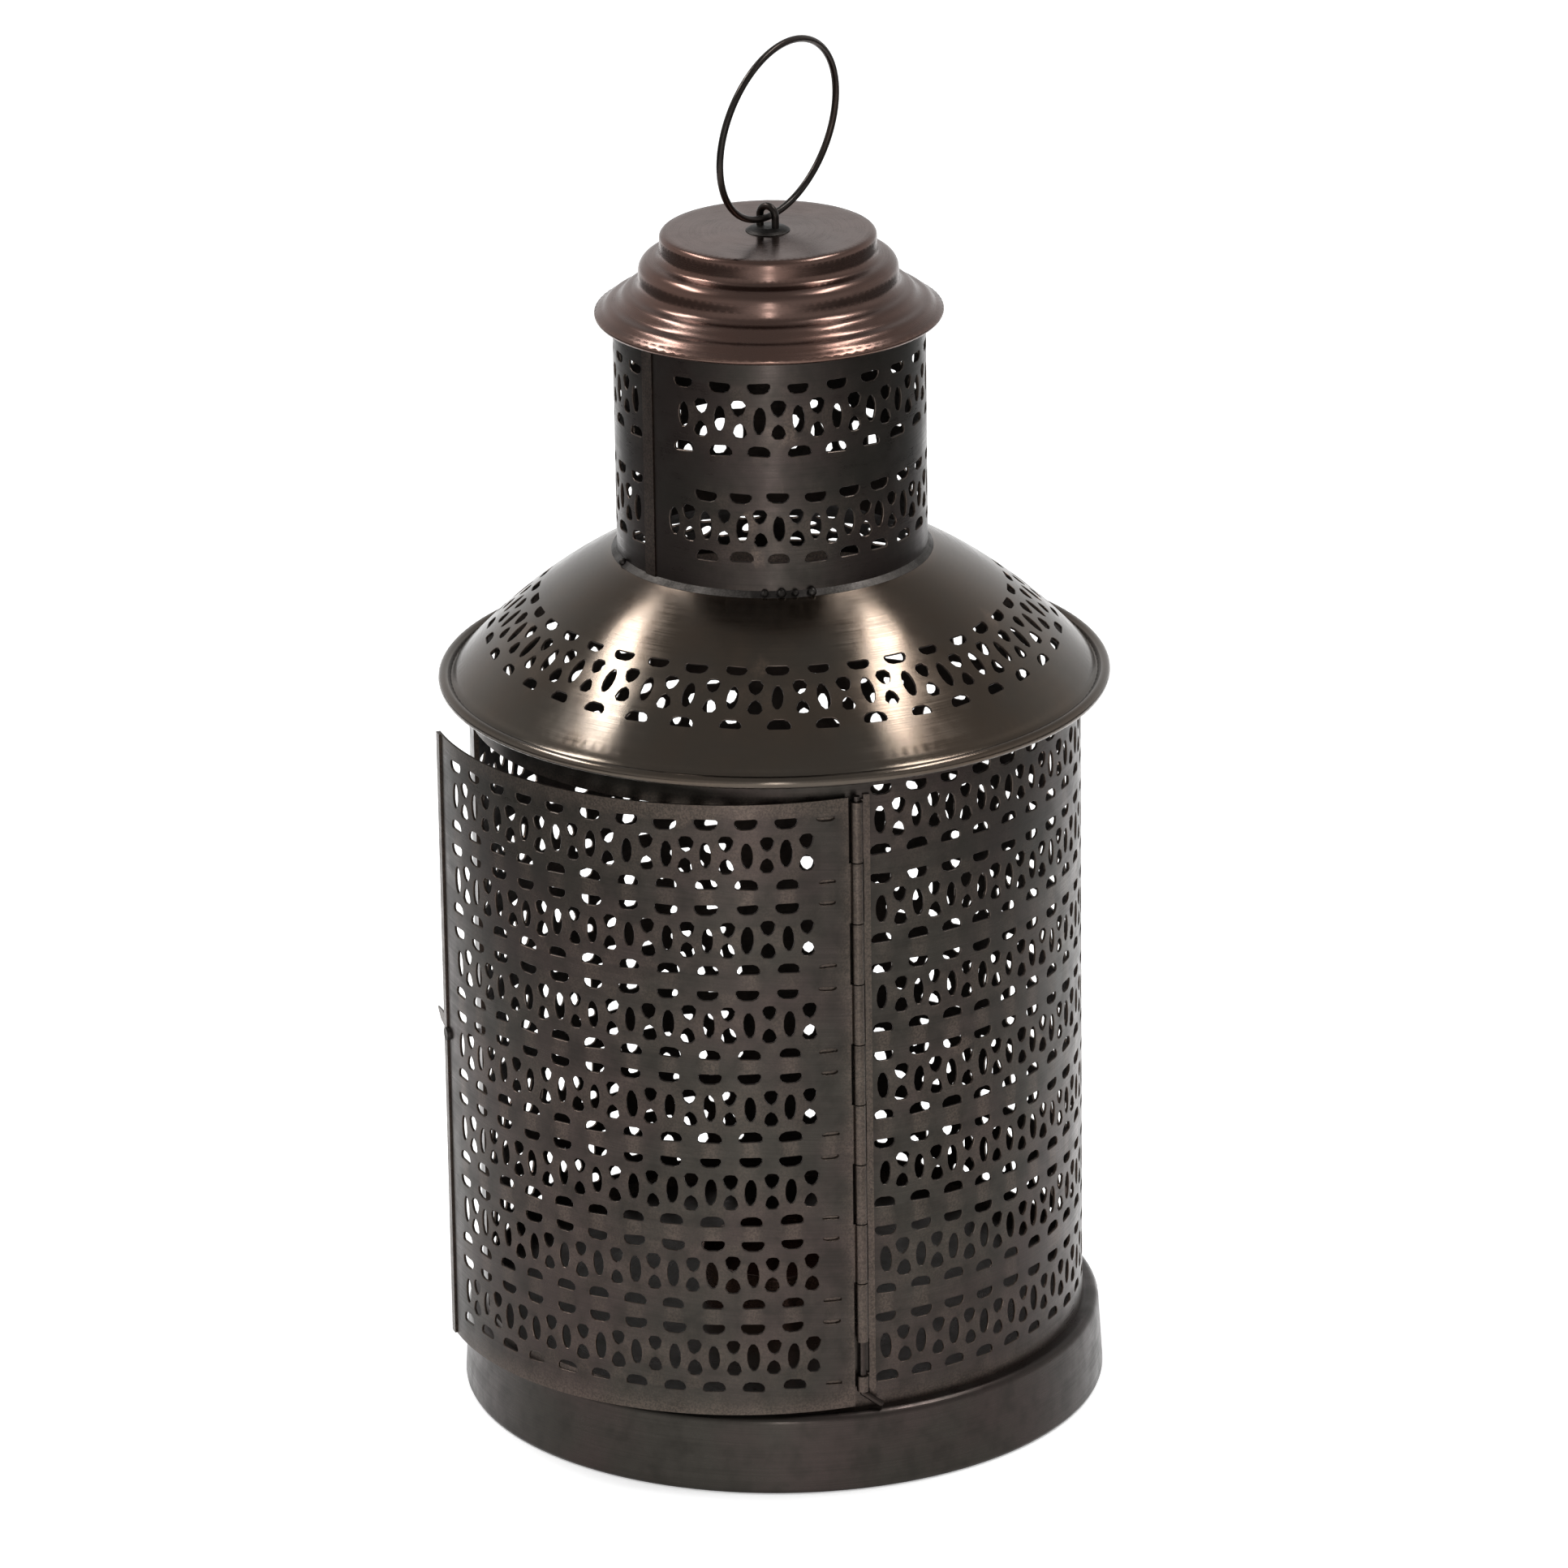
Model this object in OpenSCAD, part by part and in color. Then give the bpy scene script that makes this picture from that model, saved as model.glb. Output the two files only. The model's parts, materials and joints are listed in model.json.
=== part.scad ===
// Free-standing pierced metal lantern with a curved side door and a hanging ring.
// Origin: centre of the base's underside. +Z is up, -Y is the front, +X is to the right.
// An azimuth is an angle about +Z: 0 is the front (-Y) and 90 is the right side (+X).

/* [Sheet and wire] */
// Thickness of the body, door, neck and roof sheet
sheet_t = 0.6; // [0.4:0.1:0.7]
// Thickness of the spun base and cap
spun_t = 0.7; // [0.5:0.1:0.9]
// Radius of the hinge wire
pin_r = 0.8; // [0.6:0.1:0.9]

/* [Base] */
// Radius of the base at its foot
base_r = 80; // [78.5:0.5:84]
// Radius of the base below its rounded top edge
base_top_r = 79; // [78:0.5:80]
// Height of the base
base_h = 20; // [16:1:26]

/* [Body] */
// Outer radius of the body tube
body_r = 75; // [72:1:76]
// Height of the centre of the roof's rolled rim
rim_z = 185.3; // [170:1:200]

/* [Roof] */
// Outer radius of the roof's rolled rim
rim_r = 82.3; // [80:0.5:86]
// Radius of the rolled rim's section
bead_r = 1.5; // [1.3:0.1:1.8]
// Height of the joint of roof and neck
neck_z = 217.8; // [210:0.2:230]
// Crown of the roof's slope above a straight cone
roof_bow = 3.4; // [0:0.2:4]

/* [Neck and cap] */
// Outer radius of the neck tube
neck_r = 37.9; // [34:0.5:39]
// Height of the underside of the cap's brim
brim_z = 276.5; // [265:1:285]
// Outer radius of the cap's brim
brim_r = 42.3; // [41.5:0.2:44]
// Outer radius of the cap's upper tier
tier_r = 26.3; // [24:0.5:27]
// Outer radius of the cap's lower tier
shoulder_r = 31.5; // [30.5:0.5:32.5]

/* [Door] */
// Azimuth of the hinge wire
hinge_az = 14.4; // [10:1:20]
// Arc of the door from the hinge to its free edge
door_arc = 94.9; // [80:1:100]
// Gap between the body tube and the door sheet
door_gap = 0.85; // [0.8:0.05:1.2]
// Height of the door's lower edge
door_z0 = 21; // [20.5:0.5:24]
// Height of the door's upper edge
door_z1 = 179; // [170:1:180]
// Angle by which the door stands ajar
door_ajar = 6.6; // [0:0.2:20]
// Height of the latch pivot
latch_z = 101; // [60:1:140]
// Angle of the latch tongue above level
latch_lift = 8; // [0:1:20]

/* [Ring and cup] */
// Centreline radius of the hanging ring
ring_r = 22.75; // [18:0.5:26]
// Radius of the ring wire
ring_wire_r = 0.85; // [0.7:0.05:1]
// Lean of the standing ring from upright
ring_lean = 9; // [0:1:60]
// Inner radius of the candle cup
cup_r = 19.8; // [19:0.2:22]

/* [Hidden] */
$fn = 96;

copper_dark = "#4b4441";
copper_warm = "#6a4b3f";
bronze = "#5c5047";
solder = "#6f6a64";
iron_wire = "#3a3835";

eps = 0.01;
edge_r = 2;                       // rounding of the base's top edge
foot_w = 5;                       // width of the base's turned-in foot flange
hoop_h = 3;                       // height of the hoops inside the body tube
body_in = body_r - sheet_t;
opening_margin = 2.5;             // how far the door overlaps its opening, all round
stile_deg = 1.2;                  // width of the body strip beside the hinge

// Door: radii of the sheet, of its stiles and of the hinge wire
door_in = body_r + door_gap;
door_out = door_in + sheet_t;
stile_in = door_in - sheet_t;
hinge_rad = door_out + 0.15;
knuckle_r = 1.5;
knuckle_gap = 0.3;
knuckle_count = 9;                // body knuckles at both ends, door knuckles between them
knuckle_z0 = 38;
knuckle_z1 = door_z1 - 1;
pin_clear = 0.06;                 // radial running clearance in the door's knuckles
knuckle_pitch = (knuckle_z1 - knuckle_z0) / knuckle_count;
leaf_end = 0.8;                   // degrees from the hinge wire to the end of a knuckle's tab
panel_end = 1.5;                  // degrees from the hinge wire to the sheets on either side
free_az = hinge_az - door_arc;
hem_deg = 1.8;
hem_t = 0.5;
hinge_xy = [hinge_rad * sin(hinge_az), -hinge_rad * cos(hinge_az), 0];

// Latch: a pointed tongue in the gap between door and body
latch_inset = 2.6;                // from the door's free edge to the pivot
latch_az = free_az + latch_inset / door_in * 180 / PI;
tongue_t = 0.45;
tongue_rad = body_r + 0.25;       // inner face of the tongue at the pivot
tongue_len = 12.5;
tongue_w = 4.4;
rivet_r = 0.9;
rivet_head_r = 1.6;
keeper_reach = 10.2;              // from the pivot to the keeper when the latch is turned down
keeper_drop = 30;                 // degrees below level where the tongue meets the keeper

// Roof slope, as the height of its upper face at radius r
roof_foot_r = rim_r - 2 * bead_r - 0.1;
roof_foot_z = rim_z + 0.6;
function roof_t(r) = (roof_foot_r - r) / (roof_foot_r - neck_r);
function roof_z(r) = roof_foot_z + (neck_z - roof_foot_z) * roof_t(r)
                   + 4 * roof_bow * roof_t(r) * (1 - roof_t(r));
slope_steps = 24;
roof_slope = [for (i = [0:slope_steps]) let (r = roof_foot_r + (neck_r - roof_foot_r) * i / slope_steps)
              [r, roof_z(r)]];
bead_c = [rim_r - bead_r, rim_z];  // centre of the rolled rim's section
roof_drop = sheet_t * 1.3;        // vertical thickness of the sloping sheet
function roof_under(r) = roof_z(r) - roof_drop;

// Cap levels
cap_z = brim_z + 21;
shoulder_z = brim_z + 14;
flare_z = brim_z + 8.8;
neck_top = brim_z + 3.4;
ripple_h = 0.55;                  // height of the ripples on the cap's flare

// Ring and its eye
ring_az = 142.8;                  // azimuth of the axis that the ring swings about
ring_axis = [sin(ring_az), -cos(ring_az), 0];
eye_r = 2.3;
eye_wire_r = 0.9;
eye_hole_r = eye_r + eye_wire_r + 0.1;
ring_z = cap_z + 3.2;
eye_top_z = ring_z + 0.4;

function arc(c, r, a0, a1, n = 8) = [for (i = [0:n]) let (a = a0 + (a1 - a0) * i / n) c + r * [cos(a), sin(a)]];
function shifted(points, by, r_min = 0) = [for (p = points) [max(p[0] + by[0], r_min), p[1] + by[1]]];
function reversed(points) = [for (i = [len(points) - 1:-1:0]) points[i]];

// A sheet of revolution between an outer outline and the same outline shifted inwards
module spun(outline, by) {
    rotate_extrude() polygon(concat(outline, reversed(shifted(outline, by))));
}

module tube(r_out, r_in, z0, z1) {
    rotate_extrude() translate([r_in, z0]) square([r_out - r_in, z1 - z0]);
}

// Part of a tube between two azimuths
module band(r_in, r_out, az0, az1, z0, z1) {
    rotate([0, 0, az0 - 90]) rotate_extrude(angle = az1 - az0)
        translate([r_in, z0]) square([r_out - r_in, z1 - z0]);
}

// Turns children so that their -Y points outwards at an azimuth, at a radius and a height
module at(az, rad, z) {
    rotate([0, 0, az]) translate([0, -rad, z]) children();
}

// Puts door pieces, drawn shut, where the door stands ajar
module ajar() {
    translate(hinge_xy) rotate([0, 0, door_ajar]) translate(-hinge_xy) children();
}

// A rolled knuckle on the hinge wire, with a tab between radii r0 and r1 on one side, -1 or 1
module knuckle(z, h, r0, r1, side) {
    ends = [hinge_az + side * leaf_end, hinge_az + side * panel_end];
    at(hinge_az, hinge_rad, z) cylinder(r = knuckle_r, h = h);
    band(r0, r1, min(ends), max(ends), z, z + h);
}

// Knuckles number first, first + 2 and so on
module knuckles(first, r0, r1, side) {
    for (i = [first:2:knuckle_count - 1])
        knuckle(knuckle_z0 + i * knuckle_pitch + knuckle_gap / 2, knuckle_pitch - knuckle_gap, r0, r1, side);
}

module wire_bore(r) {
    at(hinge_az, hinge_rad, 0) cylinder(r = r, h = rim_z);
}

module base_plinth() {
    outline = concat([[0, base_h]], arc([base_top_r - edge_r, base_h - edge_r], edge_r, 90, 3),
                     [[base_r, 1.2]]);
    color(copper_dark) difference() {
        union() {
            spun(outline, [-spun_t, -spun_t]);
            rotate_extrude() polygon(concat([[base_r - spun_t, 1.2], [base_r, 1.2]],
                                            arc([base_r - 1.2, 1.2], 1.2, 0, -90, 5),
                                            [[base_r - foot_w, 0], [base_r - foot_w, spun_t],
                                             [base_r - spun_t - 0.5, spun_t]]));
        }
        translate([0, 0, base_h - 2]) cylinder(r = rivet_shank_r, h = 3);
    }
}

module body_shell() {
    top = roof_under(body_r);
    color(copper_dark) difference() {
        rotate_extrude() polygon([[body_in, base_h], [body_r, base_h], [body_r, top],
                                  [body_in, roof_under(body_in)]]);
        band(body_in - 1, body_r + 1, free_az + 1.9, hinge_az - 1.9,
             door_z0 + opening_margin, door_z1 - opening_margin);
    }
}

module body_seam_lap() {
    color(copper_dark) band(body_r, body_r + 0.5, 177, 183, base_h + 0.5, rim_z - 3);
}

module body_foot_hoop() {
    color(copper_dark) tube(body_in, body_in - sheet_t, base_h, base_h + 3);
}

module roof_locating_hoop() {
    r1 = body_in;
    r0 = body_in - sheet_t;
    color(copper_dark) rotate_extrude()
        polygon([[r0, rim_z - hoop_h], [r1, rim_z - hoop_h], [r1, roof_under(r1)], [r0, roof_under(r0)]]);
}

module opening_hinge_stile() {
    color(copper_dark) difference() {
        union() {
            band(body_r, body_r + sheet_t, hinge_az + panel_end - 0.02, hinge_az + panel_end + stile_deg,
                 door_z0 + 1, door_z1);
            knuckles(0, body_r, body_r + sheet_t, 1);
            knuckle(door_z0 + 4, 4, body_r, body_r + sheet_t, 1);
        }
        wire_bore(pin_r);
    }
}

module opening_latch_stile() {
    color(copper_dark) band(body_in - sheet_t, body_in, free_az - 1.5, free_az + 1.9,
                            base_h + 4, door_z1 + 0.1);
}

// Hinge wire with its lower end bent out to the right
module hinge_pin() {
    bend_z = door_z0 + 3.4;
    tail_len = 5.2;
    color(iron_wire) {
        at(hinge_az, hinge_rad, bend_z) {
            cylinder(r = pin_r, h = knuckle_z1 + 1.2 - bend_z);
            sphere(r = pin_r);
            rotate([0, 125, -14]) {
                cylinder(r = pin_r, h = tail_len);
                translate([0, 0, tail_len]) sphere(r = pin_r);
            }
        }
    }
}

// Clip on the body: a post that stops the tongue and a lip that holds it in
module latch_keeper() {
    along = keeper_reach * cos(keeper_drop);
    az = latch_az - along / body_r * 180 / PI;
    color(copper_dark) at(az, body_r, latch_z - keeper_reach * sin(keeper_drop)) {
        translate([-1.2, -2.3, -3.4]) cube([2.4, 2.3, 1.2]);
        translate([-1.2, -2.3, -3.4]) cube([2.4, 0.5, 4.4]);
    }
}

module roof_cone() {
    sheet = concat([[bead_c[0] - 0.9, roof_foot_z - 0.2]], roof_slope,
                   reversed(shifted(roof_slope, [0, -roof_drop])), [[bead_c[0] - 0.9, roof_foot_z - roof_drop]]);
    color(bronze) difference() {
        union() {
            rotate_extrude() polygon(sheet);
            rotate_extrude() translate(bead_c) circle(r = bead_r);
        }
        rotate_extrude() translate(bead_c) circle(r = bead_r - sheet_t);
    }
}

module roof_rim_wire() {
    color(iron_wire) rotate_extrude() translate(bead_c) circle(r = bead_r - sheet_t - 0.02);
}

module neck_tube() {
    color(copper_dark) tube(neck_r, neck_r - sheet_t, neck_z - 2, neck_top);
}

module neck_seam_lap() {
    color(copper_dark) band(neck_r, neck_r + 0.3, -53.5, -48, neck_z + 0.6, brim_z);
}

// Fillet of solder round the neck's foot, with the lumps where it was laid on
module neck_solder_joint() {
    fillet_r = neck_r + 1.4;
    color(solder) difference() {
        union() {
            rotate_extrude() polygon([[neck_r - 1, neck_z - 1], [fillet_r, roof_z(fillet_r) - 1],
                                      [fillet_r, roof_z(fillet_r) + 0.05], [neck_r, neck_z + 0.7],
                                      [neck_r - 1, neck_z + 0.7]]);
            for (lump = [[-3, 1.2], [3, 1.5], [8, 1.1], [14, 1.5], [-70, 1.3], [118, 1.4], [205, 1.5]])
                at(lump[0], neck_r + 0.75, neck_z + 0.25) scale(lump[1]) sphere(r = 0.75);
        }
        translate([0, 0, neck_z - 4]) cylinder(r = neck_r, h = 8);
        rotate_extrude() polygon(concat(roof_slope, [[neck_r - 1, neck_z], [neck_r - 1, rim_z],
                                                     [roof_foot_r, rim_z]]));
    }
}

module cap() {
    crown = concat([[eye_hole_r, cap_z]],
                   arc([tier_r - 1.5, cap_z - 1.5], 1.5, 90, 0, 7),
                   arc([tier_r + 1.5, cap_z - 2.8], 1.5, 180, 235, 5),
                   arc([shoulder_r - 2, shoulder_z - 2], 2, 62, 0, 7),
                   arc([shoulder_r + 1.6, flare_z + 0.4], 1.6, 180, 232, 5),
                   flare(16),
                   arc([brim_r - 1.6, brim_z + 1.4], 1.6, 66, 0, 6),
                   [[brim_r, brim_z + 0.6]]);
    color(copper_warm) rotate_extrude() {
        polygon(concat(crown, reversed(shifted(crown, [-spun_t, -spun_t], eye_hole_r))));
        polygon([[brim_r - spun_t - eps, brim_z + 0.6], [brim_r, brim_z + 0.6], [brim_r - 0.5, brim_z],
                 [neck_r, brim_z], [neck_r, brim_z + spun_t], [brim_r - spun_t - eps, brim_z + spun_t]]);
    }
}

// Two soft ripples down the cap's flare, from below the shoulder to the brim's rounded edge
function flare(n) =
    let (from = [shoulder_r + 0.9, flare_z - 1.2], to = [brim_r - 1.3, brim_z + 3], out = [0.5, 0.86] * ripple_h)
    [for (i = [0:n]) from + (to - from) * i / n + out * abs(sin(360 * i / n))];

// Split wire eye: a loop above the cap, legs through its hole and feet bent out below
module ring_eye() {
    foot_z = cap_z - spun_t - eye_wire_r;
    color(iron_wire) rotate([0, 0, ring_az - 90]) {
        translate([0, 0, eye_top_z]) rotate([90, 0, 90]) rotate_extrude(angle = 180)
            translate([eye_r, 0]) circle(r = eye_wire_r);
        for (side = [-1, 1]) translate([0, side * eye_r, 0]) {
            translate([0, 0, foot_z]) cylinder(r = eye_wire_r, h = eye_top_z - foot_z);
            translate([0, 0, foot_z]) sphere(r = eye_wire_r);
            translate([0, 0, foot_z]) rotate([-90 * side, 0, 0]) cylinder(r = eye_wire_r, h = 5);
        }
    }
}

module eye_solder_pad() {
    color(solder) difference() {
        rotate_extrude() polygon([[0, cap_z], [5.4, cap_z], [4.6, cap_z + 0.5], [2.6, cap_z + 0.9], [0, cap_z + 1]]);
        rotate([0, 0, ring_az - 90]) for (side = [-1, 1]) translate([0, side * eye_r, cap_z - 1])
            cylinder(r = eye_wire_r, h = 3);
    }
}

cup_h = 12;
cup_t = 0.5;
rivet_shank_r = 1.6;
module candle_cup() {
    color(copper_warm) difference() {
        translate([0, 0, base_h]) cylinder(r = cup_r + cup_t, h = cup_h);
        translate([0, 0, base_h + cup_t]) cylinder(r = cup_r, h = cup_h);
        translate([0, 0, base_h - 1]) cylinder(r = rivet_shank_r, h = 3);
    }
}

module candle_cup_rivet() {
    color(solder) {
        translate([0, 0, base_h - spun_t]) cylinder(r = rivet_shank_r, h = spun_t + cup_t);
        translate([0, 0, base_h + cup_t]) cylinder(r = 3, h = 0.9);
        translate([0, 0, base_h - spun_t - 0.9]) cylinder(r = 3, h = 0.9);
    }
}

module door_panel() {
    color(copper_dark) ajar() difference() {
        band(door_in, door_out, free_az, hinge_az - panel_end, door_z0, door_z1);
        at(latch_az, door_out + 1, latch_z) rotate([-90, 0, 0]) cylinder(r = rivet_r, h = 4);
    }
}

// Strip behind the door's hinged edge, with a tab and a knuckle at every other place
module door_hinge_stile() {
    color(copper_dark) ajar() difference() {
        union() {
            band(stile_in, door_in, hinge_az - 7.6, hinge_az - panel_end, door_z0 + 1, door_z1 - 1);
            knuckles(1, stile_in, door_out, -1);
        }
        wire_bore(pin_r + pin_clear);
    }
}

module door_free_edge_hem() {
    color(copper_dark) ajar() difference() {
        band(door_out, door_out + hem_t, free_az, free_az + hem_deg, door_z0, door_z1);
        at(latch_az, door_in, latch_z) rotate([90, 0, 0]) cylinder(r = rivet_head_r + 0.05, h = 3);
    }
}

module latch_rivet() {
    color(solder) ajar() at(latch_az, 0, latch_z) rotate([90, 0, 0]) {
        translate([0, 0, tongue_rad]) cylinder(r = rivet_r, h = door_out + 0.9 - tongue_rad);
        translate([0, 0, door_out]) cylinder(r = rivet_head_r, h = 0.9);
    }
}

module latch_tongue() {
    color(copper_warm) ajar() at(latch_az, 0, latch_z) rotate([90, 0, 0])
        translate([0, 0, tongue_rad]) linear_extrude(tongue_t) rotate(-latch_lift) difference() {
            union() {
                circle(r = tongue_w / 2);
                polygon([[0, tongue_w / 2], [-tongue_len + 3.5, tongue_w / 2 - 0.6], [-tongue_len, 0.9],
                         [-tongue_len + 3, -tongue_w / 2 + 1], [0, -tongue_w / 2]]);
            }
            circle(r = rivet_r + 0.05);
        }
}

module hanging_ring() {
    color(iron_wire) translate([0, 0, ring_z]) rotate([0, 0, ring_az - 90]) rotate([ring_lean, 0, 0])
        translate([0, 0, ring_r]) rotate([90, 0, 0]) rotate_extrude() translate([ring_r, 0]) circle(r = ring_wire_r);
}

base_plinth();
body_shell();
body_seam_lap();
body_foot_hoop();
roof_locating_hoop();
opening_hinge_stile();
opening_latch_stile();
hinge_pin();
latch_keeper();
roof_cone();
roof_rim_wire();
neck_tube();
neck_seam_lap();
neck_solder_joint();
cap();
ring_eye();
eye_solder_pad();
candle_cup();
candle_cup_rivet();
door_panel();
door_hinge_stile();
door_free_edge_hem();
latch_rivet();
latch_tongue();
hanging_ring();
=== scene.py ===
import json
import math
import random

import bpy
import numpy as np
from mathutils import Matrix, Vector
from mathutils.geometry import delaunay_2d_cdt


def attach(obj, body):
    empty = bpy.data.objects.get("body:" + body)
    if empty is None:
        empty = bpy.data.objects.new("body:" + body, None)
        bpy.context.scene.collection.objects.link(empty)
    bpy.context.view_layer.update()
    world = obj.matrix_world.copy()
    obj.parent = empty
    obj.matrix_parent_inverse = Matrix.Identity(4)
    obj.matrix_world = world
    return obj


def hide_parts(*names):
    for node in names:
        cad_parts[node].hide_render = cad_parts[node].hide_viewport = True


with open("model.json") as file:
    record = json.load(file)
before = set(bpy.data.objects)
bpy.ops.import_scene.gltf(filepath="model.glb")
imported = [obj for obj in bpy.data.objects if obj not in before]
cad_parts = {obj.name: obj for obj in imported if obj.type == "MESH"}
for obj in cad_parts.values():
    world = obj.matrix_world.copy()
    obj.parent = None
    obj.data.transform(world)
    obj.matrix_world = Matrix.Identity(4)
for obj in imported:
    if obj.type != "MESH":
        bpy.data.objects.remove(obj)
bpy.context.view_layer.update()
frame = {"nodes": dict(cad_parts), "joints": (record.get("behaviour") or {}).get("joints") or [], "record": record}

# Lengths in this script are in metres; MM turns millimetres into metres.
# An azimuth is an angle about +Z: 0 is the front (-Y) and 90 degrees is the right side (+X).
MM = 0.001
NODES = frame["nodes"]


# ---------------------------------------------------------------- camera, floor and light

CAMERA_TARGET_Z = 0.155
CAMERA_DISTANCE = 2.3104
CAMERA_ELEVATION = math.radians(20.232)
CAMERA_ROLL = math.radians(-0.8445)
CAMERA_LENS = 215.6
CAMERA_SHIFT = (0.00512, 0.0005)

# How bright the room is by the height of a direction: up to HORIZON_TOP, and from CEILING_START
HORIZON_TOP, CEILING_START = 0.25, 0.75
HORIZON_LIGHT, CEILING_LIGHT = 0.8, 0.42


def add_camera():
    data = bpy.data.cameras.new("camera")
    data.lens = CAMERA_LENS
    data.sensor_width = 36
    data.shift_x, data.shift_y = CAMERA_SHIFT
    data.clip_end = 30
    camera = bpy.data.objects.new("camera", data)
    back = Vector((0, -math.cos(CAMERA_ELEVATION), math.sin(CAMERA_ELEVATION)))
    right = Vector((1, 0, 0))
    up = back.cross(right)
    basis = Matrix((right, up, back)).transposed()
    place = Vector((0, 0, CAMERA_TARGET_Z)) + back * CAMERA_DISTANCE
    camera.matrix_world = Matrix.Translation(place) @ (basis @ Matrix.Rotation(CAMERA_ROLL, 3, "Z")).to_4x4()
    bpy.context.scene.collection.objects.link(camera)
    bpy.context.scene.camera = camera


def add_soft_box(name, place, size, radiance, aim=(0, 0, CAMERA_TARGET_Z)):
    """A rectangular lamp aimed at the lantern; its power follows from how bright its face looks."""
    data = bpy.data.lights.new(name, "AREA")
    data.shape = "RECTANGLE"
    data.size, data.size_y = size
    data.energy = radiance * math.pi * size[0] * size[1]
    lamp = bpy.data.objects.new(name, data)
    lamp.location = place
    lamp.rotation_euler = (Vector(place) - Vector(aim)).to_track_quat("Z", "Y").to_euler()
    lamp.visible_camera = False
    bpy.context.scene.collection.objects.link(lamp)


def direction(azimuth, elevation, distance):
    a, e = math.radians(azimuth), math.radians(elevation)
    away = Vector((math.sin(a) * math.cos(e), -math.cos(a) * math.cos(e), math.sin(e)))
    return Vector((0, 0, CAMERA_TARGET_Z)) + away * distance


def add_world():
    """White to the camera; for light and reflections white near the horizon and dim overhead."""
    world = bpy.data.worlds.new("studio")
    world.use_nodes = True
    tree = world.node_tree
    background = tree.nodes["Background"]
    background.inputs["Color"].default_value = (1, 1, 1, 1)
    place = tree.nodes.new("ShaderNodeTexCoord").outputs["Generated"]
    split = tree.nodes.new("ShaderNodeSeparateXYZ")
    tree.links.new(place, split.inputs[0])
    ramp = tree.nodes.new("ShaderNodeMapRange")
    ramp.interpolation_type = "SMOOTHSTEP"
    tree.links.new(split.outputs[2], ramp.inputs[0])
    for socket, value in zip(ramp.inputs[1:5], (HORIZON_TOP, CEILING_START, HORIZON_LIGHT, CEILING_LIGHT)):
        socket.default_value = value
    seen = tree.nodes.new("ShaderNodeLightPath").outputs["Is Camera Ray"]
    choose = tree.nodes.new("ShaderNodeMix")
    choose.inputs["B"].default_value = 1.0
    tree.links.new(seen, choose.inputs["Factor"])
    tree.links.new(ramp.outputs[0], choose.inputs["A"])
    tree.links.new(choose.outputs[0], background.inputs["Strength"])
    bpy.context.scene.world = world


def add_floor():
    bpy.ops.mesh.primitive_circle_add(vertices=64, radius=8, fill_type="NGON")
    floor = bpy.context.object
    floor.name = "floor"
    paper = bpy.data.materials.new("white_paper")
    paper.use_nodes = True
    shader = paper.node_tree.nodes["Principled BSDF"]
    shader.inputs["Base Color"].default_value = (0.9, 0.9, 0.9, 1)
    shader.inputs["Roughness"].default_value = 0.9
    shader.inputs["Emission Color"].default_value = (1, 1, 1, 1)
    shader.inputs["Emission Strength"].default_value = 0.38
    floor.data.materials.append(paper)


def add_dark_card(name, x):
    """A dark card on the floor beside the lantern, out of the picture, that its sides reflect."""
    bpy.ops.mesh.primitive_plane_add(size=1, location=(x, -0.3, 2 * MM))
    card = bpy.context.object
    card.name = name
    card.scale = (2.4, 2.6, 1)
    cloth = bpy.data.materials.new(name)
    cloth.use_nodes = True
    shader = cloth.node_tree.nodes["Principled BSDF"]
    shader.inputs["Base Color"].default_value = (0.12, 0.12, 0.12, 1)
    shader.inputs["Roughness"].default_value = 0.9
    card.data.materials.append(cloth)
    card.visible_camera = False
    card.visible_diffuse = False
    card.visible_shadow = False


def add_studio():
    add_world()
    add_floor()
    add_dark_card("dark_card_left", -1.62)
    add_dark_card("dark_card_right", 1.64)
    add_soft_box("soft_box_left", direction(-108, 52, 1.6), (0.8, 0.19), 30)
    add_soft_box("soft_box_right", direction(98, 63, 1.6), (0.8, 0.19), 26)
    add_soft_box("front_card", (0, -0.98, 0.02), (0.13, 0.56), 6.5, (0, -0.3, 0.3))
    add_soft_box("front_strip", (0, -2.5, 0.5), (0.13, 0.8), 14)
    bpy.context.scene.view_settings.view_transform = "Standard"


# ---------------------------------------------------------------- materials


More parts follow.
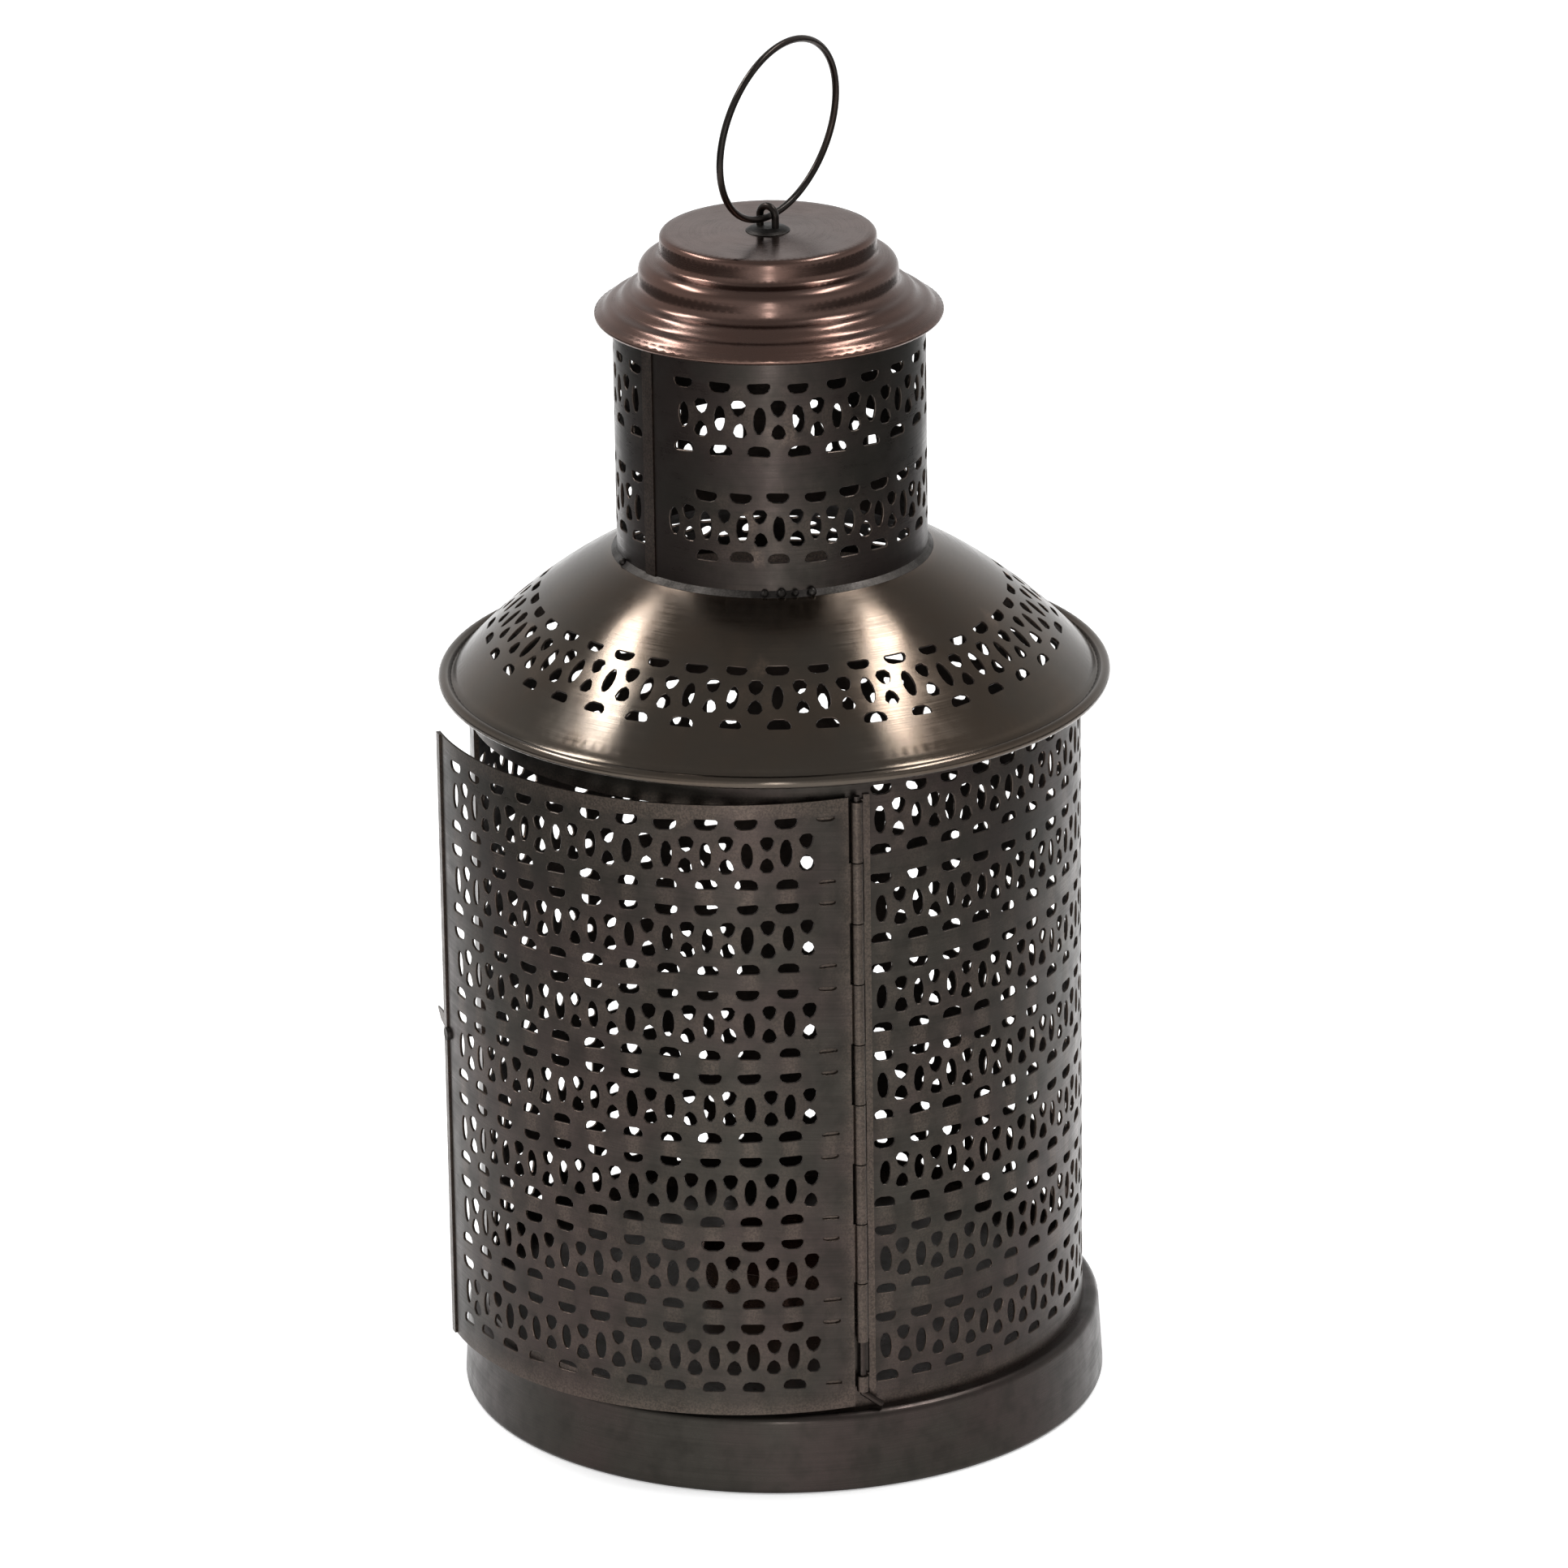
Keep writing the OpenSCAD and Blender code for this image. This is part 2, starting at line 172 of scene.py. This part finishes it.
class Nodes:
    """Short calls for building one material's node tree."""

    def __init__(self, name):
        self.material = bpy.data.materials.new(name)
        self.material.use_nodes = True
        self.tree = self.material.node_tree
        self.shader = self.tree.nodes["Principled BSDF"]

    def link(self, value, socket):
        if isinstance(value, bpy.types.NodeSocket):
            self.tree.links.new(value, socket)
        else:
            socket.default_value = value

    def add(self, kind, out=0, **inputs):
        node = self.tree.nodes.new(kind)
        for key, value in inputs.items():
            self.link(value, node.inputs[int(key[1:]) if key[0] == "_" else key])
        return node.outputs[out]

    def math(self, operation, *values):
        node = self.tree.nodes.new("ShaderNodeMath")
        node.operation = operation
        for i, value in enumerate(values):
            self.link(value, node.inputs[i])
        return node.outputs[0]

    def vector_math(self, operation, *values, out=0):
        node = self.tree.nodes.new("ShaderNodeVectorMath")
        node.operation = operation
        for i, value in enumerate(values):
            self.link(value, node.inputs[i])
        return node.outputs[out]

    def noise(self, vector, scale, detail=2.0, rough=0.5):
        return self.add("ShaderNodeTexNoise", Vector=vector, Scale=scale, Detail=detail, Roughness=rough)

    def fade(self, value, low, high, to_low=0.0, to_high=1.0):
        node = self.tree.nodes.new("ShaderNodeMapRange")
        node.interpolation_type = "SMOOTHSTEP"
        for i, v in enumerate((value, low, high, to_low, to_high)):
            self.link(v, node.inputs[i])
        return node.outputs[0]

    def mix(self, share, a, b):
        node = self.tree.nodes.new("ShaderNodeMix")
        node.data_type = "RGBA"
        self.link(share, node.inputs["Factor"])
        for value, socket in ((a, node.inputs[6]), (b, node.inputs[7])):
            self.link(value if isinstance(value, bpy.types.NodeSocket) else (*value, 1), socket)
        return node.outputs[2]


def turned_coordinates(n, around, along):
    """Coordinates for marks that run round the lantern's axis: slow around it, fast along its outline."""
    place = n.tree.nodes.new("ShaderNodeTexCoord").outputs["Object"]
    flat = n.vector_math("MULTIPLY", place, (1, 1, 0))
    radius = n.vector_math("LENGTH", flat, out=1)
    heading = n.vector_math("MULTIPLY", n.vector_math("NORMALIZE", flat), (around, around, 0))
    split = n.tree.nodes.new("ShaderNodeSeparateXYZ")
    n.link(place, split.inputs[0])
    level = n.math("MULTIPLY", n.math("SUBTRACT", split.outputs[2], radius), along)
    return place, n.vector_math("ADD", heading, n.add("ShaderNodeCombineXYZ", Z=level))


def aged_metal(name, deep, main, warm, worn_edge_and_glint_colour, roughness, brush=0.25, bump=0.1, anisotropy=0.0, worn_edge_and_glint_share=0.5,
               patina=0.5, waves=1.0):
    """Dark antique metal: mottled patina in three colours, brush marks, scratches and brighter sharp edges, partly
    bare metal where the patina is gone and partly a painted glint.
    """
    n = Nodes(name)
    place, turned = turned_coordinates(n, 1.4, 2600)
    cloud = n.noise(place, 26, 3, 0.55)
    mottle = n.noise(place, 150, 4, 0.6)
    grain = n.noise(place, 1900, 2, 0.6)
    lines = n.noise(turned, 1.0, 3, 0.7)
    colour = n.mix(n.fade(cloud, 0.36, 0.64), main, warm)
    colour = n.mix(n.fade(mottle, 0.40, 0.70, 0.0, patina), colour, deep)
    colour = n.mix(n.fade(lines, 0.35, 0.75, 0.0, 0.30), colour, deep)
    # Sharp edges (pointiness) turn lighter: bare metal where the patina is gone, together with a painted glint
    # along the edges.
    edge = n.tree.nodes.new("ShaderNodeNewGeometry").outputs["Pointiness"]
    worn_and_glinting_edges = n.math("MULTIPLY", n.fade(edge, 0.52, 0.60), n.fade(grain, 0.35, 0.65, 0.3, 1.0))
    colour = n.mix(n.math("MULTIPLY", worn_and_glinting_edges, worn_edge_and_glint_share), colour, worn_edge_and_glint_colour)
    n.link(colour, n.shader.inputs["Base Color"])
    n.shader.inputs["Metallic"].default_value = 1.0
    spread = 0.12 * patina
    gloss = n.math("ADD", n.fade(mottle, 0.3, 0.7, roughness - spread, roughness + spread),
                   n.fade(lines, 0.3, 0.7, -0.04, 0.04))
    n.link(gloss, n.shader.inputs["Roughness"])
    relief = n.math("ADD", n.math("MULTIPLY", lines, brush), n.math("MULTIPLY", grain, 0.2))
    relief = n.math("ADD", relief, n.math("MULTIPLY", n.noise(place, 45, 2, 0.5), waves))
    node = n.tree.nodes.new("ShaderNodeBump")
    node.inputs["Strength"].default_value = bump
    node.inputs["Distance"].default_value = 0.3 * MM
    n.link(relief, node.inputs["Height"])
    n.link(node.outputs[0], n.shader.inputs["Normal"])
    if anisotropy:
        tangent = n.tree.nodes.new("ShaderNodeTangent")
        tangent.direction_type = "RADIAL"
        tangent.axis = "Z"
        n.link(tangent.outputs[0], n.shader.inputs["Tangent"])
        n.shader.inputs["Anisotropic"].default_value = anisotropy
        n.shader.inputs["Anisotropic Rotation"].default_value = 0.25
    return n.material


MATERIALS = {
    "aged_copper": aged_metal("aged_copper", (0.026, 0.024, 0.021), (0.042, 0.038, 0.033),
                              (0.049, 0.038, 0.035), (0.20, 0.15, 0.12), roughness=0.34,
                              anisotropy=0.4, worn_edge_and_glint_share=0.3),
    # Inside faces and undersides of every sheet: a darker copy of the outer copper, painted shade for the
    # lantern's dim inside.
    "inner_copper": aged_metal("inner_copper", (0.012, 0.011, 0.010), (0.022, 0.019, 0.017),
                               (0.028, 0.021, 0.018), (0.06, 0.045, 0.04), roughness=0.55,
                               brush=0.3, bump=0.3, worn_edge_and_glint_share=0.1, patina=0.6),
    "cut_copper": aged_metal("cut_copper", (0.04, 0.035, 0.03), (0.065, 0.055, 0.048),
                             (0.08, 0.06, 0.05), (0.18, 0.13, 0.10), roughness=0.4,
                             brush=0.1, bump=0.2, worn_edge_and_glint_share=0.2),
    "roof_bronze": aged_metal("roof_bronze", (0.066, 0.056, 0.047), (0.088, 0.075, 0.062),
                              (0.094, 0.072, 0.055), (0.28, 0.20, 0.15), roughness=0.20,
                              brush=0.5, bump=0.04, anisotropy=0.8, worn_edge_and_glint_share=0.3, patina=0.25, waves=0.4),
    # The cap gets the strongest edge lightening: a painted glint along its tier edges as well as bare metal there.
    "cap_copper": aged_metal("cap_copper", (0.075, 0.048, 0.040), (0.115, 0.074, 0.062),
                             (0.135, 0.076, 0.060), (0.40, 0.25, 0.19), roughness=0.24,
                             bump=0.04, anisotropy=0.3, worn_edge_and_glint_share=0.7, patina=0.3, waves=0.3),
    "iron_wire": aged_metal("iron_wire", (0.014, 0.012, 0.011), (0.030, 0.027, 0.025),
                            (0.040, 0.030, 0.026), (0.12, 0.10, 0.09), roughness=0.34,
                            brush=0.1, bump=0.3, worn_edge_and_glint_share=0.3),
    # Solder at the joints, kept much darker than the copper beside it: partly the solder's own dull tone, partly
    # painted shade where the parts meet.
    "soft_solder": aged_metal("soft_solder", (0.010, 0.009, 0.008), (0.018, 0.016, 0.015),
                              (0.05, 0.045, 0.042), (0.12, 0.11, 0.10), roughness=0.48,
                              brush=0.1, bump=0.8, worn_edge_and_glint_share=0.3, patina=0.8, waves=2.0),
}


def dress_cad_nodes():
    for part in frame["record"]["subparts"]:
        mesh = NODES[part["node"]].data
        mesh.materials.clear()
        mesh.materials.append(MATERIALS[part["material_slot"]])


# ---------------------------------------------------------------- pierced sheets


def egg(width, height, top, point, count):
    """A convex outline: top is the share of its height above the centre, point how sharp its ends are."""
    points = []
    for k in range(count):
        a = 2 * math.pi * (k + 0.5) / count
        s, c = math.sin(a), math.cos(a)
        share = top if s > 0 else 1 - top
        points.append((c * abs(c) ** point * width / 2, s * height * share))
    return points


def almond(width, height):
    return [(-y, x) for x, y in egg(height, width, 0.5, 0.0, 12)]


def dash(width, height, flat_side):
    """A slot with one flat long side (up, 1, or down, -1) and one that bulges."""
    points = []
    flat_share = 0.24
    flat = flat_share * height
    for x, y in egg(width, height, flat_share, -0.35, 12):
        y = flat * min(1, abs(y) / flat * 1.7) if y > 0 else y
        points.append((x * flat_side, y * flat_side))
    return points


def wedge(width, height, wide_side):
    """A triangle with well rounded corners, its wide side up (1) or down (-1)."""
    points = []
    for k in range(10):
        a = 2 * math.pi * (k + 0.5) / 10
        r = 1 + 0.1 * math.cos(3 * (a - wide_side * math.pi / 6))
        points.append((r * math.cos(a) * width / 2, r * math.sin(a) * height / 2))
    return points


DASH = (5.5 * MM, 2.5 * MM)
SLIM_DASH = (4.4 * MM, 1.0 * MM)
ALMOND = (2.9 * MM, 6.7 * MM)
WEDGE = (3.4 * MM, 3.8 * MM)


def band(dice, columns, level, depth, pitch, plain=None, slim=None):
    """One band of the pattern: dashes above and below, almonds between them and wedges at half pitch.

    Column number plain has no dashes; column number slim has narrow dashes and no almond.
    """
    holes = []

    def punch(azimuth, height, outline):
        turn = math.radians(dice.uniform(-4, 4))
        size = dice.uniform(0.93, 1.08)
        shift = (dice.uniform(-0.2, 0.2) * MM, dice.uniform(-0.2, 0.2) * MM)
        c, s = math.cos(turn) * size, math.sin(turn) * size
        points = [(c * x - s * y + shift[0], s * x + c * y + shift[1]) for x, y in outline]
        holes.append((azimuth, height, points))

    for number, azimuth in enumerate(columns):
        slot = SLIM_DASH if number == slim else DASH
        if number != plain:
            punch(azimuth, level, dash(*slot, 1))
            punch(azimuth, level - depth, dash(*slot, -1))
        if number != slim:
            punch(azimuth, level - depth / 2, almond(*ALMOND))
    for azimuth in columns[:-1]:
        punch(azimuth + pitch / 2, level - 0.32 * depth, wedge(*WEDGE, 1))
        punch(azimuth + pitch / 2, level - 0.68 * depth, wedge(*WEDGE, -1))
    return holes


class Outline:
    """The outline of a sheet of revolution, as (radius, height) by the length t along it from its lower end."""

    def __init__(self, points):
        self.points = np.array(points, float)
        steps = np.diff(self.points, axis=0)
        lengths = np.hypot(steps[:, 0], steps[:, 1])
        self.t = np.concatenate([[0], np.cumsum(lengths)])
        across = np.stack([steps[:, 1], -steps[:, 0]], 1) / lengths[:, None]
        joined = np.concatenate([across[:1], across[:-1] + across[1:], across[-1:]])
        self.normals = joined / np.linalg.norm(joined, axis=1)[:, None]
        self.length = self.t[-1]

    def at(self, t):
        place = np.stack([np.interp(t, self.t, self.points[:, i]) for i in (0, 1)], -1)
        normal = np.stack([np.interp(t, self.t, self.normals[:, i]) for i in (0, 1)], -1)
        return place, normal / np.linalg.norm(normal, axis=-1)[..., None]

    def t_of_radius(self, radius):
        """Where the upper stretch of the outline has this radius."""
        start = int(np.argmax(self.points[:, 0])) + 1
        return float(np.interp(-radius, -self.points[start:, 0], self.t[start:]))


def steps_between(low, high, step):
    return np.linspace(low, high, max(1, round((high - low) / step)) + 1)


def grown(points, by):
    """The outline moved outwards by a distance."""
    p = np.array(points)
    ahead = np.roll(p, -1, 0) - p
    side = np.stack([ahead[:, 1], -ahead[:, 0]], 1)
    side /= np.linalg.norm(side, axis=1)[:, None]
    out = side + np.roll(side, 1, 0)
    return out / np.linalg.norm(out, axis=1)[:, None] * by


def pierced_sheet(name, outline, azimuths, holes, window=None, closed=False, rows=None,
                  step=3.2 * MM, thickness=0.6 * MM, chamfer=0.13 * MM):
    """A sheet of revolution with real holes.

    azimuths gives its two ends in radians. A hole is (azimuth, t, outline) and the window, if there is one, is
    (azimuth, azimuth, t, t). A closed sheet is joined to itself where its ends meet. Front, back and the walls
    of the holes are all modelled; a narrow chamfer runs round each hole in front.
    """
    reference = float(outline.at(outline.length / 2)[0][0])
    x0, x1 = azimuths[0] * reference, azimuths[1] * reference
    rows = steps_between(0, outline.length, step) if rows is None else np.array(rows)
    columns = steps_between(x0, x1, step)
    flat, label, shift, loops = [], [], [], []

    def add_loop(points, tag, offsets=None):
        start = len(flat)
        for i, p in enumerate(points):
            flat.append((float(p[0]), float(p[1])))
            label.append(tag)
            shift.append((0.0, 0.0) if offsets is None else tuple(offsets[i]))
        loops.append((tag, list(range(start, len(flat)))))

    rim = [(x, rows[0]) for x in columns] + [(x1, t) for t in rows[1:]]
    rim += [(x, rows[-1]) for x in columns[-2::-1]] + [(x0, t) for t in rows[-2:0:-1]]
    add_loop(rim, 0)
    spots = []
    if window is not None:
        wx = steps_between(window[0] * reference, window[1] * reference, step)
        wt = steps_between(window[2], window[3], step)
        edge = [(x, wt[0]) for x in wx] + [(wx[-1], t) for t in wt[1:]]
        edge += [(x, wt[-1]) for x in wx[-2::-1]] + [(wx[0], t) for t in wt[-2:0:-1]]
        add_loop(edge, 1)
    for number, (azimuth, t, points) in enumerate(holes):
        stretch = reference / float(outline.at(t)[0][0])
        offsets = grown(points, chamfer)
        offsets[:, 0] *= stretch
        placed = [(azimuth * reference + x * stretch, t + y) for x, y in points]
        add_loop(placed, number + 2, offsets)
        spots.append((azimuth * reference, t, max(abs(x) for x, _ in points) * stretch,
                      max(abs(y) for _, y in points)))
    spots = np.array(spots)
    clear = 0.9 * MM
    for number, t in enumerate(rows[1:-1]):
        xs = columns[1:-1] if number % 2 else (columns[:-1] + columns[1:]) / 2
        if len(spots):
            near = spots[np.abs(spots[:, 1] - t) < spots[:, 3] + clear]
            if len(near):
                across = (xs[:, None] - near[None, :, 0]) / (near[None, :, 2] + clear)
                along = (t - near[None, :, 1]) / (near[None, :, 3] + clear)
                xs = xs[(across ** 2 + along ** 2).min(1) > 1]
        if window is not None and window[2] - clear < t < window[3] + clear:
            xs = xs[(xs < window[0] * reference - clear) | (xs > window[1] * reference + clear)]
        for x in xs:
            flat.append((float(x), float(t)))
            label.append(-1)
            shift.append((0.0, 0.0))
    edges = [(loop[i - 1], loop[i]) for _, loop in loops for i in range(len(loop))]
    scaled = [Vector((x / MM, t / MM)) for x, t in flat]
    made, _, triangles, origins, _, _ = delaunay_2d_cdt(scaled, edges, [], 0, 1e-7)
    if len(made) != len(flat):
        raise ValueError(f"{name}: two outlines meet ({len(made)} points from {len(flat)})")
    source = [o[0] for o in origins]
    kept = []
    for triangle in triangles:
        a, b, c = (source[i] for i in triangle)
        if not (label[a] > 0 and label[a] == label[b] == label[c]):
            kept.append((a, b, c))

    flat, shift, label = np.array(flat), np.array(shift), np.array(label)

    def surface(points, depth):
        place, normal = outline.at(points[:, 1])
        azimuth = points[:, 0] / reference
        r, z = place[:, 0] - normal[:, 0] * depth, place[:, 1] - normal[:, 1] * depth
        out = np.stack([np.sin(azimuth) * normal[:, 0], -np.cos(azimuth) * normal[:, 0], normal[:, 1]], 1)
        return np.stack([np.sin(azimuth) * r, -np.cos(azimuth) * r, z], 1), out

    count = len(flat)
    front, front_normals = surface(flat + shift, 0.0)
    middle, _ = surface(flat, chamfer)
    back, back_normals = surface(flat, thickness)
    vertices = np.concatenate([front, middle, back])
    normals = np.concatenate([front_normals, front_normals, -back_normals])
    same = np.arange(3 * count)
    if closed:
        left = {round(flat[i][1] / MM, 4): i for i in range(count) if label[i] == 0 and flat[i][0] == x0}
        for i in range(count):
            if label[i] == 0 and flat[i][0] == x1:
                twin = left[round(flat[i][1] / MM, 4)]
                for layer in (0, 2):
                    same[i + layer * count] = twin + layer * count
    faces, kinds = [], []
    for a, b, c in kept:
        faces.append((a, b, c))
        faces.append((c + 2 * count, b + 2 * count, a + 2 * count))
        kinds += [0, 1]
    for tag, loop in loops:
        for i in range(len(loop)):
            a, b = loop[i - 1], loop[i]
            if tag == 0:
                on_seam = flat[a][0] == flat[b][0] and flat[a][0] in (x0, x1)
                if closed and on_seam:
                    continue
                faces.append((b, a, a + 2 * count, b + 2 * count))
                kinds.append(2)
            elif tag == 1:
                faces.append((a, b, b + 2 * count, a + 2 * count))
                kinds.append(2)
            else:
                faces.append((a, b, b + count, a + count))
                faces.append((a + count, b + count, b + 2 * count, a + 2 * count))
                kinds += [2, 2]
    faces = [tuple(int(same[i]) for i in face) for face in faces]
    used = sorted({i for face in faces for i in face})
    renumber = {old: new for new, old in enumerate(used)}
    faces = [tuple(renumber[i] for i in face) for face in faces]
    vertices, normals = vertices[used], normals[used]
    mesh = bpy.data.meshes.new(name)
    mesh.from_pydata(vertices.tolist(), [], faces)
    for _ in ("front", "back", "walls of the holes"):
        mesh.materials.append(None)
    mesh.polygons.foreach_set("material_index", kinds)
    mesh.polygons.foreach_set("use_smooth", [True] * len(kinds))
    mesh.update()
    corner_normals = []
    for polygon, kind in zip(mesh.polygons, kinds):
        if kind == 2:
            corner_normals += [polygon.normal.copy()] * len(polygon.vertices)
        else:
            corner_normals += [Vector(normals[i]) for i in polygon.vertices]
    mesh.normals_split_custom_set(corner_normals)
    piece = bpy.data.objects.new(name, mesh)
    bpy.context.scene.collection.objects.link(piece)
    return piece


def finish_piece(piece, body, node, sheet, inner, cut):
    for i, material in enumerate((sheet, inner, cut)):
        piece.data.materials[i] = MATERIALS[material]
    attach(piece, body)
    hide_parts(node)


# ---------------------------------------------------------------- the lantern's sheets


def polar(node, centre=(0, 0), turn=0.0):
    """A node's points, turned back about an upright line, as arrays of azimuth, radius and height."""
    points = np.array([v.co for v in NODES[node].data.vertices], float)
    x, y = points[:, 0] - centre[0], points[:, 1] - centre[1]
    c, s = math.cos(turn), math.sin(turn)
    x, y = c * x + s * y + centre[0], c * y - s * x + centre[1]
    return np.arctan2(x, -y), np.hypot(x, y), points[:, 2]


HINGE_JOINT = next(j for j in frame["joints"] if j["name"] == "door_hinge")
HINGE = HINGE_JOINT["pos_m"]
AJAR = math.radians(-HINGE_JOINT["range_deg"][0])
HINGE_AZIMUTH = math.atan2(HINGE[0], -HINGE[1])

UNIT_PITCH = math.radians(7.2)        # 50 units of the pattern go round the body
DOOR_PITCH = math.radians(7.3)
BODY_BAND_PITCH = 22.8 * MM
DOOR_BAND_PITCH = 21.7 * MM
BAND_DEPTH = 16.4 * MM
BANDS = 7


def upright(radius, low, high):
    return Outline([(radius, low), (radius, high)])


def seven_bands(dice, columns, top, band_pitch, pitch, slim=None):
    holes = []
    for k in range(BANDS):
        holes += band(dice, columns, top - k * band_pitch, BAND_DEPTH, pitch, slim=slim)
    return holes


def wrapped(holes):
    """The same holes with every azimuth between -180 and 180 degrees."""
    return [((a + math.pi) % (2 * math.pi) - math.pi, t, points) for a, t, points in holes]


def make_body():
    _, radius, height = polar("body_shell")
    low, high = height.min(), height.max() - 0.5 * MM
    door_azimuth, _, door_height = polar("door_panel", HINGE, AJAR)
    margin = 2.5 * MM
    window = (door_azimuth.min() + math.radians(1.9), HINGE_AZIMUTH - math.radians(1.9),
              door_height.min() + margin - low, door_height.max() - margin - low)
    dice = random.Random(11)
    first = HINGE_AZIMUTH + math.radians(5.0)
    columns = [first + k * UNIT_PITCH for k in range(36)]
    top = door_height.max() + 1.15 * MM
    holes = seven_bands(dice, columns, top - low, BODY_BAND_PITCH, UNIT_PITCH)
    seam = math.radians(-180), math.radians(180)
    strip = math.radians(5.5)
    holes = [hole for hole in wrapped(holes) if abs(abs(hole[0]) - math.pi) > strip]
    piece = pierced_sheet("pierced_body", upright(radius.max(), low, high), seam, holes, window, closed=True)
    finish_piece(piece, "root", "body_shell", "aged_copper", "inner_copper", "cut_copper")


def make_door():
    azimuth, radius, height = polar("door_panel", HINGE, AJAR)
    low = height.min()
    dice = random.Random(23)
    last = HINGE_AZIMUTH - math.radians(5.6)
    columns = [last - (11 - k) * DOOR_PITCH for k in range(12)]
    top = height.max() - 4.5 * MM
    holes = seven_bands(dice, columns, top - low, DOOR_BAND_PITCH, DOOR_PITCH, slim=11)
    piece = pierced_sheet("pierced_door", upright(radius.max(), low, height.max()),
                          (azimuth.min(), azimuth.max()), holes)
    about = Matrix.Translation(HINGE) @ Matrix.Rotation(AJAR, 4, "Z") @ Matrix.Translation(-Vector(HINGE))
    piece.data.transform(about)
    finish_piece(piece, "door", "door_panel", "aged_copper", "inner_copper", "cut_copper")


# Top, depth, first azimuth in degrees, number of pitches and plain column of the neck's two bands
NECK_BANDS = ((269.9 * MM, 16.9 * MM, -33.4, 23, None), (242.3 * MM, 16.2 * MM, -38.4, 25, 0))


def make_neck():
    _, radius, height = polar("neck_tube")
    lap_azimuth, _, _ = polar("neck_seam_lap")
    low = height.min()
    dice = random.Random(37)
    holes = []
    for top, depth, first, count, plain in NECK_BANDS:
        start = math.radians(first)
        pitch = (lap_azimuth.min() + 2 * math.pi - math.radians(5.2) - start) / count
        columns = [start + k * pitch for k in range(count + 1)]
        holes += band(dice, columns, top - low, depth, pitch, plain=plain)
    holes = [hole for hole in wrapped(holes) if abs(hole[0]) < math.radians(174)]
    piece = pierced_sheet("pierced_neck", upright(radius.max(), low, height.max()),
                          (-math.pi, math.pi), holes, closed=True, step=2.6 * MM)
    finish_piece(piece, "root", "neck_tube", "aged_copper", "inner_copper", "cut_copper")


BEAD_R = 1.5 * MM
ROOF_BOW = 3.4 * MM
GROOVE = 0.9 * MM                     # width of the groove inside the rolled rim
GROOVE_SHARE = 0.025                  # share of the slope that the groove takes


def roof_outline():
    """The roof's upper face: round the rolled rim, over its groove and up the slope to the neck."""
    _, radius, height = polar("roof_cone")
    centre = (radius.max() - BEAD_R, height.min() + BEAD_R)
    foot = (radius.max() - 2 * BEAD_R - 0.1 * MM, centre[1] + 0.6 * MM)
    top = (radius.min(), height.max())
    points = []
    for k in range(28):
        a = math.radians(-150 + k * 12)
        points.append((centre[0] + BEAD_R * math.cos(a), centre[1] + BEAD_R * math.sin(a)))
    points.append((centre[0] - BEAD_R - GROOVE / 2, centre[1] - 0.15 * MM))
    for k in range(41):
        t = GROOVE_SHARE + (1 - GROOVE_SHARE) * k / 40
        points.append((foot[0] + (top[0] - foot[0]) * t,
                       foot[1] + (top[1] - foot[1]) * t + 4 * ROOF_BOW * t * (1 - t)))
    return Outline(points)


def make_roof():
    outline = roof_outline()
    dice = random.Random(53)
    count = 37
    pitch = 2 * math.pi / count
    columns = [math.radians(0.8) + (k - count // 2) * pitch for k in range(count)]
    upper, lower = outline.t_of_radius(57.8 * MM), outline.t_of_radius(70 * MM)
    holes = band(dice, columns, upper, upper - lower, pitch)
    slope_start = outline.t[30]
    rows = np.concatenate([steps_between(0, slope_start, 0.45 * MM),
                           steps_between(slope_start, outline.length, 3 * MM)[1:]])
    piece = pierced_sheet("pierced_roof", outline, (-math.pi, math.pi), holes, closed=True, rows=rows,
                          step=2.4 * MM, thickness=0.55 * MM)
    finish_piece(piece, "root", "roof_cone", "roof_bronze", "inner_copper", "cut_copper")


def cap_outline(brim_r, brim_z):
    """The spun cap from the underside of its brim, over the rippled flare and two tiers, to the middle.

    The points are in millimetres from the brim's outer radius and from its underside.
    """
    points = [(-4.4, 0), (-2.5, 0), (-0.9, 0)]
    points += [(-0.9 + 0.9 * math.sin(a), 0.9 - 0.9 * math.cos(a)) for a in np.linspace(0.3, 2.1, 7)]
    for k in range(25):
        t = k / 24
        ripple = 0.3 * (1 - math.cos(4 * math.pi * t))
        points.append((-1.5 - 8.2 * t + 0.5 * ripple, 2.0 + 5.4 * t ** 1.15 + 0.86 * ripple))
    points += [(-10.2, 7.8), (-10.5, 8.3), (-10.7, 9.0), (-10.75, 9.8), (-10.75, 10.6)]
    points += [(-14.0 + 3.2 * math.cos(a), 11.4 + 3.3 * math.sin(a)) for a in np.linspace(0.1, 1.4, 12)]
    points += [(-14.6, 14.8), (-15.2, 15.0), (-15.7, 15.4), (-15.95, 16.0), (-16.0, 16.8), (-16.0, 18.4)]
    points += [(-17.4 + 1.4 * math.cos(a), 19.6 + 1.4 * math.sin(a)) for a in np.linspace(0.0, 1.5, 9)]
    points += [(-18.6, 21), (-22, 21), (-30, 21), (-41, 21)]
    return Outline([(brim_r + r * MM, brim_z + z * MM) for r, z in points])


def make_cap():
    _, radius, height = polar("cap")
    outline = cap_outline(radius.max(), height.min())
    rows = np.unique(np.concatenate([outline.t, steps_between(0, outline.length, 1.6 * MM)]))
    rows = rows[np.concatenate([[True], np.diff(rows) > 0.05 * MM])]
    rows[-1] = outline.length
    piece = pierced_sheet("spun_cap", outline, (-math.pi, math.pi), [], closed=True, rows=rows,
                          step=1.7 * MM, thickness=0.5 * MM)
    finish_piece(piece, "root", "cap", "cap_copper", "inner_copper", "cut_copper")


add_camera()
add_studio()
dress_cad_nodes()
make_body()
make_door()
make_neck()
make_roof()
make_cap()
